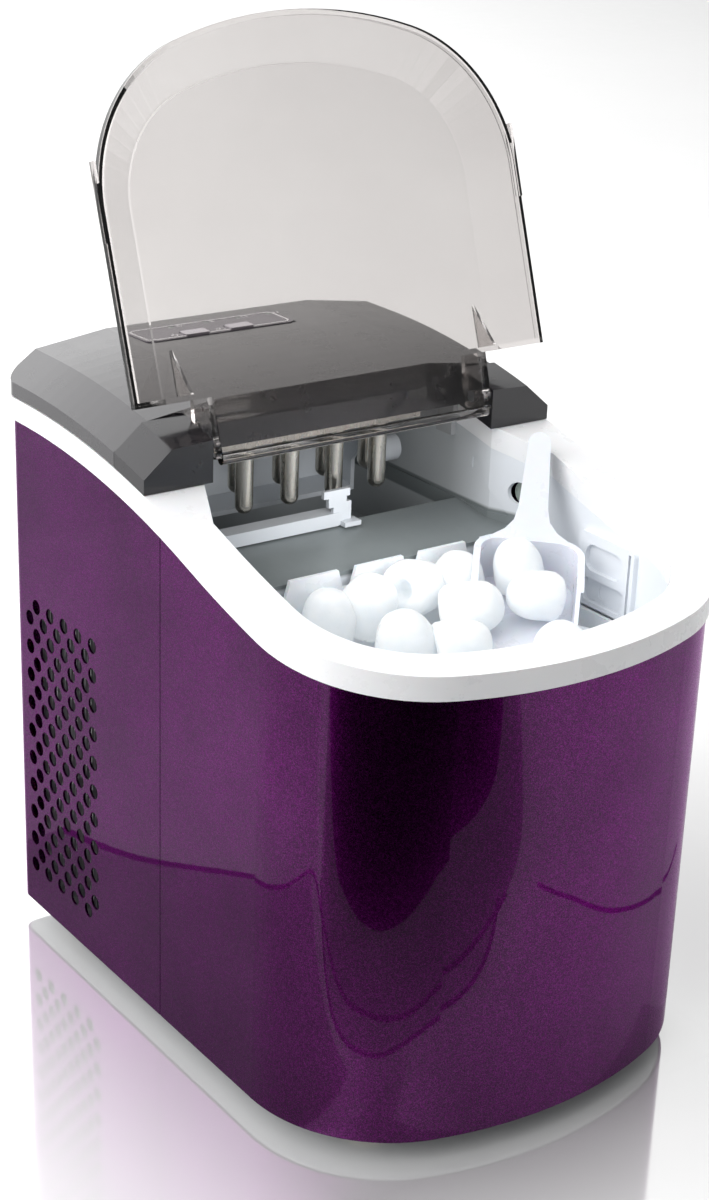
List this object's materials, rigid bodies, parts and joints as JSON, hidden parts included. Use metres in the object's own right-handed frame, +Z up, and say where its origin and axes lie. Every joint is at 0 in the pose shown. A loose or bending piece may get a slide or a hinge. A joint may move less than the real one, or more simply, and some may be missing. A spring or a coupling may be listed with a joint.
{
  "type": "countertop ice maker",
  "caption": "Compact countertop ice maker with bowed metallic violet case, white rim, tinted hinged lid, ice basket, scoop, freezing fingers and cooling unit.",
  "frame": {"origin": "middle of the machine's own box at floor level, midway between the front of the rim and the back of the cover, feet at z = 0", "axes": "+X to the right of someone facing the front, -Y out of the bowed front, +Y out of the rear panel, +Z up; the lid is stored open"},
  "size_m": [0.2434, 0.319, 0.4888],
  "materials": {
    "violet_paint": "metallic gloss",
    "white_plastic": "satin gloss",
    "dark_plastic": "gloss",
    "smoke_clear": "clear smoke",
    "grey_plastic": "satin",
    "pan_plastic": "matte",
    "rear_plastic": "matte",
    "basket_plastic": "satin",
    "rubber_black": "matte",
    "rubber_cream": "matte",
    "nickel": "plated",
    "aluminium_sheet": "mill",
    "copper": "bare",
    "brass_valve": "bare",
    "black_steel": "semi gloss",
    "steel": "zinc",
    "key_silver": "satin",
    "lens_clear": "clear",
    "label_film": "gloss film",
    "board_green": "solder mask",
    "foam_cream": "foam",
    "hose_clear": "translucent",
    "wire_jacket": "satin"
  },
  "bodies": {
    "case": {"base_pan": "pan_plastic", "feet": "rubber_cream", "front_wrap": "violet_paint", "left_panel": "violet_paint", "right_panel": "violet_paint", "rear_panel": "rear_plastic", "rim": "white_plastic", "cover": "dark_plastic", "hinge_block_left": "dark_plastic", "hinge_block_right": "dark_plastic", "label": "label_film", "indicator_lenses": "lens_clear", "display_board": "board_green", "liner": "grey_plastic", "foam": "foam_cream", "evaporator_plate": "nickel", "fingers": "nickel", "evaporator_tube": "copper", "evaporator_bracket": "pan_plastic", "tray_motor": "rear_plastic", "sensor_pair": "lens_clear", "water_nozzle": "white_plastic", "pump": "rear_plastic", "pump_hose": "hose_clear", "compressor": "black_steel", "compressor_cap": "rear_plastic", "grommets": "rubber_black", "condenser_fins": "aluminium_sheet", "condenser_tube": "copper", "fan_shroud": "white_plastic", "fan_motor": "black_steel", "gas_valve": "brass_valve", "drier": "copper", "copper_lines": "copper", "main_board": "board_green", "wiring": "wire_jacket", "drain_spout": "white_plastic", "power_inlet": "rear_plastic", "inlet_pins": "nickel", "screws": "steel"},
    "lid": {"lid": "smoke_clear", "lid_pins": "steel"},
    "power_button": {"power_button": "key_silver"},
    "select_button": {"select_button": "key_silver"},
    "basket": {"ice_basket": "basket_plastic"},
    "scoop": {"ice_scoop": "basket_plastic"},
    "tray": {"water_tray": "grey_plastic", "tray_pivots": "steel"},
    "pusher": {"ice_pusher": "grey_plastic"},
    "fan": {"fan_blade": "white_plastic", "fan_shaft": "steel"},
    "drain_cap": {"drain_cap": "rubber_black"}
  },
  "joints": [
    {"name": "lid_hinge", "type": "hinge", "parent": "case", "child": "lid", "pos_m": [0, 0.0333, 0.299], "axis": [-1, 0, 0], "range_deg": [-119.5, 0]},
    {"name": "power_press", "type": "slide", "parent": "case", "child": "power_button", "axis": [0, 0, -1], "range_m": [0, 0.0012], "stiffness_N_per_m": 400},
    {"name": "select_press", "type": "slide", "parent": "case", "child": "select_button", "axis": [0, 0, -1], "range_m": [0, 0.0012], "stiffness_N_per_m": 400},
    {"name": "basket_lift", "type": "slide", "parent": "case", "child": "basket", "axis": [0, 0, 1], "range_m": [0, 0.14]},
    {"name": "scoop_lift", "type": "slide", "parent": "basket", "child": "scoop", "axis": [0, 0, 1], "range_m": [0, 0.12]},
    {"name": "tray_tilt", "type": "hinge", "parent": "case", "child": "tray", "pos_m": [0, 0.097, 0.278], "axis": [1, 0, 0], "range_deg": [-90, 0]},
    {"name": "pusher_slide", "type": "slide", "parent": "case", "child": "pusher", "axis": [0, -1, 0], "range_m": [0, 0.0252]},
    {"name": "fan_spin", "type": "hinge", "parent": "case", "child": "fan", "pos_m": [-0.085, 0.106, 0.112], "axis": [1, 0, 0], "continuous": true},
    {"name": "drain_cap_pull", "type": "slide", "parent": "case", "child": "drain_cap", "axis": [0, 1, 0], "range_m": [0, 0.018]}
  ],
  "couplings": [
    {"joint": "pusher_slide", "follows": "tray_tilt", "m_per_rad": -0.016}
  ]
}
